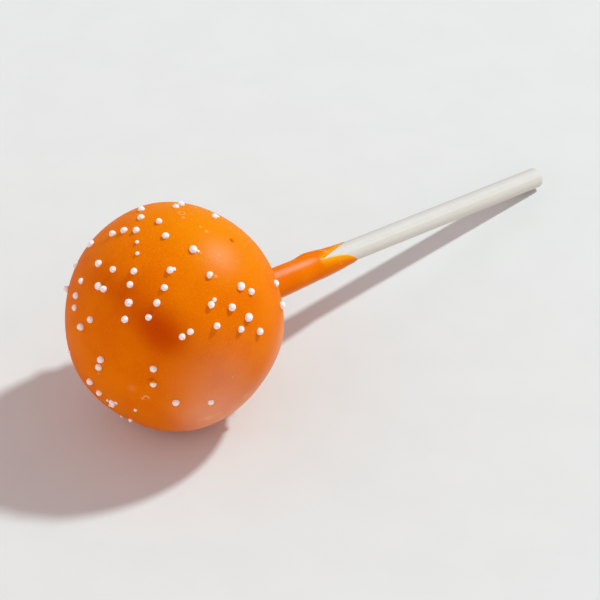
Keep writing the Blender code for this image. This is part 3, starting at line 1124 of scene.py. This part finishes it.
# %% Crumbs of broken beads
CRUMBS = (  # direction in degrees, size as a share of a whole bead
    ((31.2, 165.8), 0.50),
    ((33.9, 160.5), 0.42),
    ((35.3, 164.0), 0.48),
    ((31.9, 154.2), 0.46),
    ((36.2, 168.6), 0.36),
    ((53.4, 166.2), 0.40),
    ((51.0, 172.0), 0.34),
    ((62.5, 23.6), 0.54),
    ((111.4, 2.3), 0.48),
    ((78.9, 21.7), 0.36),
    ((59.1, -52.4), 0.50),
    ((61.2, -49.6), 0.40),
)
CRUMB_SUNK = 0.3
CRUMB_SEED = 41


def beads_and_crumbs():
    """Centres, outward directions, radii, sizes and spins of the beads, then of the crumbs."""
    draw = random.Random(CRUMB_SEED)
    rows = [(BEAD_CENTRES, BEAD_OUTWARD, BEAD_RADII, BEAD_SIZES, BEAD_SPINS)]
    for at, size in CRUMBS:
        direction = direction_at(*at)
        outward = ball_normals(direction)
        radius = BEAD_DIAMETER / 2 * size
        centre = ball_points(direction) + outward * radius * CRUMB_SUNK
        sizes = (draw.uniform(0.6, 1.3), draw.uniform(0.7, 1.2), draw.uniform(0.6, 1.0))
        spin = draw.uniform(0, math.tau)
        rows.append(([centre], [outward], [radius], [sizes], [spin]))
    return tuple(np.concatenate(column) for column in zip(*rows))


print(len(CRUMBS), "crumbs")

# %% [markdown]
# ## Smears, and the beads grown
# A bead that rolled in the wet coating is smeared up one side. On the far side that is drawn
# by chance for a tenth of the beads, and four on the near side are listed. The side is a
# direction whose length says how far the smear goes, so it is one more value of the cloud,
# and then the tree can grow all the beads at once.

# %% Grow the beads on their points
SMEARED_SHARE = 0.10  # of the scattered beads
SMEAR_STRENGTH = 0.5
SMEAR_DIPS = 0.8  # how far a smear leans in towards the ball
SMEARED_BEADS = (  # the bead's direction, the smeared side, how far it goes
    ((77, 36), (0.3, -0.8, -0.5), 0.50),
    ((71, 50), (-0.7, 0.2, -0.7), 0.42),
    ((13, -60), (-0.3, -0.5, -0.8), 0.50),
    ((37, 98), (0.3, 0.5, 0.8), 1.9),
)


def smear_sides():
    """Where each bead is smeared: mostly nowhere, on a few beads up one side."""
    draw = random.Random(BEAD_SEED)
    sides = []
    for outward in BEAD_OUTWARD:
        aside = Vector([draw.gauss(0, 1) for _ in range(3)])
        smeared = draw.random() < SMEARED_SHARE and outward @ SHOWN_SIDE < SCATTER_FROM
        side = (aside.normalized() - Vector(outward) * SMEAR_DIPS).normalized()
        sides.append(side * (SMEAR_STRENGTH if smeared else 0))
    sides += [Vector()] * len(CRUMBS)
    for at, side, strength in SMEARED_BEADS:
        nearest = int(np.argmax(BEAD_OUTWARD @ ball_normals(direction_at(*at))))
        sides[nearest] = Vector(side).normalized() * strength
    return sides


def make_beads():
    centres, outward, radii, sizes, spins = beads_and_crumbs()
    cloud = add_object("sugar_beads", centres, [], sugar)
    add_attribute(cloud.data, "bead_radius", radii)
    add_attribute(cloud.data, "bead_outward", outward, "FLOAT_VECTOR")
    add_attribute(cloud.data, "bead_sizes", sizes, "FLOAT_VECTOR")
    add_attribute(cloud.data, "bead_spin", spins)
    add_attribute(cloud.data, "smear_side", smear_sides(), "FLOAT_VECTOR")
    grow = cloud.modifiers.new("sprinkle", "NODES")
    grow.node_group = bead_tree
    for item in bead_tree.interface.items_tree:
        if item.name in BEAD_INPUTS:
            grow[item.identifier] = BEAD_INPUTS[item.name][1]
    apply_modifiers(cloud)
    return cloud


sugar_beads = make_beads()
sugar_beads.data.transform(LAY_DOWN)
print("beads:", len(sugar_beads.data.polygons), "triangles")

# %% [markdown]
# ## The paper's finish
# The stick is a strip of white paper rolled up tight along its length. The paper's fibres lie
# along it, so their noise is stretched along X. It is a little warmer along the last wrap's
# edge, and faint lengthwise bands of painted shade warm the lower side below that edge and
# darken the top of the far side. The cut rims are a little yellow. The bands are soft
# functions of the angle round the stick, carried by its mesh.

# %% Rolled paper material
PAPER_WHITE = (0.648, 0.622, 0.606, 1)
PAPER_SHADE = (0.565, 0.550, 0.505, 1)
PAPER_BANDS = (  # attribute, its color
    # warmer along the last wrap's edge, and painted shade over the lower side below it
    ("seam_and_painted_shade", (0.685, 0.655, 0.580, 1)),
    # painted shade along the top of the far side
    ("painted_edge_shade", (0.530, 0.510, 0.480, 1)),
    ("cut_rim", (0.700, 0.630, 0.480, 1)),
)
FIBRES_PER_METRE, CLOUDS_PER_METRE = 3800.0, 260.0
FIBRE_STRETCH = (0.12, 1.0, 1.0)
FIBRE_DEPTH = 0.00003


def make_paper():
    made, tree, shader, place = new_material("white_rolled_paper")
    along = add_node(tree, "ShaderNodeMapping", {"Vector": place, "Scale": FIBRE_STRETCH})
    fibres = noise_field(tree, along.outputs[0], FIBRES_PER_METRE, 4)
    clouds = noise_field(tree, place, CLOUDS_PER_METRE, 2)
    fibre_share = smooth_step(tree, fibres, 0.42, 0.80, 0, 0.5)
    color = mix_colors(tree, fibre_share, PAPER_WHITE, PAPER_SHADE)
    color = mix_colors(tree, smooth_step(tree, clouds, 0.40, 0.75, 0, 0.35), color, PAPER_SHADE)
    for attribute, band in PAPER_BANDS:
        color = mix_colors(tree, carried(tree, attribute), color, band)
    surface = {
        "Base Color": color,
        "Roughness": smooth_step(tree, fibres, 0.3, 0.7, 0.55, 0.70),
        "Normal": fine_relief(tree, fibres, 0.4, FIBRE_DEPTH),
        "Specular IOR Level": 0.4,
    }
    wire(tree, shader, surface)
    return made


rolled_paper = make_paper()
print("material", rolled_paper.name, "nodes", len(rolled_paper.node_tree.nodes))

# %% [markdown]
# ## The paper stick
# Its outside is smooth with one lengthwise step, where the last wrap ends, and its cut end
# shows the wraps as a fine spiral. A plain cylinder would show neither. It is a tube again,
# from a grid of radii, but the rings carry on over the rim and in to the middle of each end,
# so that the spiral is real relief.

# %% Shape of the stick
STICK_SIDES = 160
STICK_STEP = 0.0008
RIM_ROUNDING = 0.00012
RIM_STEPS = 5
PAPER_THICKNESS = 0.00016
WRAP_STEP = 0.00004  # how far the last wrap's edge stands out
WRAP_ANGLE = 47
SPIRAL_DEPTH = 0.00005
SPIRAL_GROOVE = 0.28  # the share of each wrap that is groove
END_RINGS = 44
PINHOLE = 0.00018


def end_face(outward):
    """(reach, radius) from the rim's start in to the middle of one end."""
    turn = np.linspace(0, math.pi / 2, RIM_STEPS + 1)[1:]
    radii = STICK_RADIUS - RIM_ROUNDING * (1 - np.cos(turn))
    inner = np.linspace(STICK_RADIUS - RIM_ROUNDING, PINHOLE, END_RINGS)[1:]
    back = np.concatenate((RIM_ROUNDING * (1 - np.sin(turn)), np.zeros(END_RINGS - 1)))
    return -outward * back, np.concatenate((radii, inner))


def make_stick():
    start = STICK_REACH - STICK_LENGTH
    length = np.arange(start + RIM_ROUNDING, STICK_REACH - RIM_ROUNDING, STICK_STEP)
    near_back, near_radii = end_face(-1)
    far_back, far_radii = end_face(1)
    reach = np.concatenate((start + near_back[::-1], length, STICK_REACH + far_back))
    radius = np.concatenate((near_radii[::-1], np.full(len(length), STICK_RADIUS), far_radii))
    turns = np.arange(STICK_SIDES) * 360 / STICK_SIDES
    reaches, angles = np.meshgrid(reach, turns, indexing="ij")
    radii = np.repeat(radius[:, None], STICK_SIDES, axis=1)
    wrap = ((angles - WRAP_ANGLE) % 360) / 360
    on_side = radii > STICK_RADIUS - RIM_ROUNDING
    spiral = ((radii / PAPER_THICKNESS + wrap) % 1 < SPIRAL_GROOVE) & ~on_side
    towards_middle = np.sign(reaches - (start + STICK_REACH) / 2)
    reaches = reaches - np.where(spiral, SPIRAL_DEPTH, 0) * towards_middle
    radii = radii - WRAP_STEP * wrap * on_side
    return make_tube("paper_stick", angles, reaches, radii, rolled_paper)


paper_stick = make_stick()
print("stick:", len(paper_stick.data.polygons), "faces")

# %% Bands along the stick: painted shade, a warm line at the wrap's edge, and yellow cut rims
# the warm line at the wrap's edge, then painted shade over the lower side
PAST_SEAM, PAST_SEAM_TONE = (0, 4, 10, 70, 160, 350, 360), (0.8, 0.6, 0.4, 0.9, 0.5, 0, 0.8)
# painted shade along the top of the far side
EDGE_SHADE_ANGLES, EDGE_SHADE_TONE = (-75, -45, -25, 5, 30), (0, 1, 0.75, 0.3, 0)
RIM_TONE = (0.6, 0.35, 0)

stick_points = coordinates(paper_stick.data)
stick_turn = turn_round_stick(stick_points)
past_seam = (stick_turn - WRAP_ANGLE) % 360
to_free_end = STICK_REACH - stick_points[:, 0]
to_end = np.minimum(to_free_end, stick_points[:, 0] - STICK_REACH + STICK_LENGTH)
for name, values in (
    ("seam_and_painted_shade", np.interp(past_seam, PAST_SEAM, PAST_SEAM_TONE)),
    ("painted_edge_shade", np.interp(stick_turn, EDGE_SHADE_ANGLES, EDGE_SHADE_TONE)),
    ("cut_rim", np.interp(to_end, (0, RIM_ROUNDING, 2 * RIM_ROUNDING), RIM_TONE)),
):
    add_attribute(paper_stick.data, name, values)
    print(name, "mean", round(float(values.mean()), 2))
paper_stick.data.transform(LAY_DOWN)

# %% [markdown]
# ## The table
# The pop lies on a plain pale table. It isn't part of the object.
# One large square is enough, with noise so faint that it only keeps the tone from being dead
# flat.

# %% Table
TABLE_SIZE = 4.0
TABLE_DROP = 0.00001  # just below the pop, so that the two surfaces never meet
TABLE_PALE = (0.697, 0.703, 0.708, 1)
TABLE_SHADE = 0.985
TABLE_GRAINS_PER_METRE = 90.0


def make_table():
    made, tree, shader, place = new_material("pale_table")
    grain = noise_field(tree, place, TABLE_GRAINS_PER_METRE, 3)
    shade = tuple(TABLE_SHADE * channel for channel in TABLE_PALE[:3]) + (1,)
    color = mix_colors(tree, smooth_step(tree, grain, 0.35, 0.65), TABLE_PALE, shade)
    wire(tree, shader, {"Base Color": color, "Roughness": 0.9, "Specular IOR Level": 0.2})
    half = TABLE_SIZE / 2
    corners = [(-half, -half, 0), (half, -half, 0), (half, half, 0), (-half, half, 0)]
    table = add_object("table", corners, [(0, 1, 2, 3)], made)
    table.location.z = -TABLE_DROP


make_table()
print("table:", TABLE_SIZE, "m")

# %% [markdown]
# ## The light
# One small softbox, high on the right and a little behind, gives the crisp shadow to the
# lower left. A soft pale room fills the shadows in. Its walls are lighter on the far left and
# it is dim overhead, so that the lit side keeps its full color, and it is kept out of glossy
# reflections, as a polarising filter would keep it out. A few lamps could do the same, but
# each would leave a highlight and a shadow of its own.

# %% Light
KEY_DIRECTION = Vector((0.82, -0.19, 1.0)).normalized()
KEY_DISTANCE = 4.0
KEY_SPREAD = 5.5  # degrees across, as seen from the pop
KEY_POWER = 127.0
KEY_COLOR = (0.862, 1.010, 0.995)
ROOM_COLOR = (1.130, 0.975, 0.965, 1)
ROOM_WALLS = (0.54, 0.92)  # brightness of the walls, on the right and on the far left
ROOM_OVERHEAD = 0.24
OVERHEAD_FROM, OVERHEAD_FULL = 0.70, 0.92  # how steeply up the dim part begins and is whole


def make_light():
    data = bpy.data.lights.new("softbox", "AREA")
    data.shape = "DISK"
    data.size = 2 * KEY_DISTANCE * math.tan(math.radians(KEY_SPREAD / 2))
    data.energy = KEY_POWER
    data.color = KEY_COLOR
    softbox = new_object("softbox", data)
    softbox.location = KEY_DIRECTION * KEY_DISTANCE
    softbox.rotation_euler = KEY_DIRECTION.to_track_quat("Z", "Y").to_euler()


def make_room():
    room = bpy.data.worlds.new("pale_room")
    room.use_nodes = True
    tree = room.node_tree
    view = add_node(tree, "ShaderNodeTexCoord").outputs["Generated"]
    axes = add_node(tree, "ShaderNodeSeparateXYZ", {0: view}).outputs
    to_left = calculate(tree, "MULTIPLY", axes["X"], -1.0)
    walls = smooth_step(tree, to_left, -0.9, 0.9, *ROOM_WALLS)
    overhead = smooth_step(tree, axes["Z"], OVERHEAD_FROM, OVERHEAD_FULL)
    strength = add_node(tree, "ShaderNodeMix", {0: overhead, 2: walls, 3: ROOM_OVERHEAD})
    background = {"Color": ROOM_COLOR, "Strength": strength.outputs[0]}
    wire(tree, tree.nodes["Background"], background)
    room.cycles_visibility.glossy = False
    bpy.context.scene.world = room


make_light()
make_room()
print("softbox from", [round(share, 2) for share in KEY_DIRECTION])

# %% [markdown]
# ## The camera
# The camera looks down at the pop from the front left with a long lens, so it hardly narrows
# with distance. It is placed by the point that it aims at, a heading, an elevation and a
# distance, because those can be changed one at a time without losing the pop from view.

# %% Camera
CAMERA_AIM = Vector((-0.0010, 0.0052, 0))  # the point of the table in the middle of the view
CAMERA_DISTANCE = 0.5982
CAMERA_HEADING = 46.24  # degrees from +X
CAMERA_ELEVATION = 39.84
CAMERA_LENS = 191.3
CAMERA_SENSOR = 36


def make_camera():
    heading, elevation = math.radians(CAMERA_HEADING), math.radians(CAMERA_ELEVATION)
    level = math.cos(elevation)
    forward = Vector((level * math.cos(heading), level * math.sin(heading), -math.sin(elevation)))
    data = bpy.data.cameras.new("camera")
    data.lens = CAMERA_LENS
    data.sensor_width = CAMERA_SENSOR
    camera = new_object("camera", data)
    camera.location = CAMERA_AIM - forward * CAMERA_DISTANCE
    camera.rotation_euler = forward.to_track_quat("-Z", "Y").to_euler()
    bpy.context.scene.camera = camera
    bpy.context.scene.view_settings.view_transform = "Standard"
    print("camera at", camera.location[:])


make_camera()

# %% [markdown]
# ## Pieces on the body
# Each piece rides on the imported model's one body. The coating and the beads replace the
# coated ball together, and the rolled paper replaces the stick; the solids they replace are hidden.

# %% Pieces on the body, and the solids they replace hidden
for piece, node, slot in (
    (coating, "coated_ball", "candy_coating"),
    (sugar_beads, "coated_ball", "sugar_beads"),
    (paper_stick, "stick", "rolled_paper"),
):
    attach(piece, "root")
    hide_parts(node)
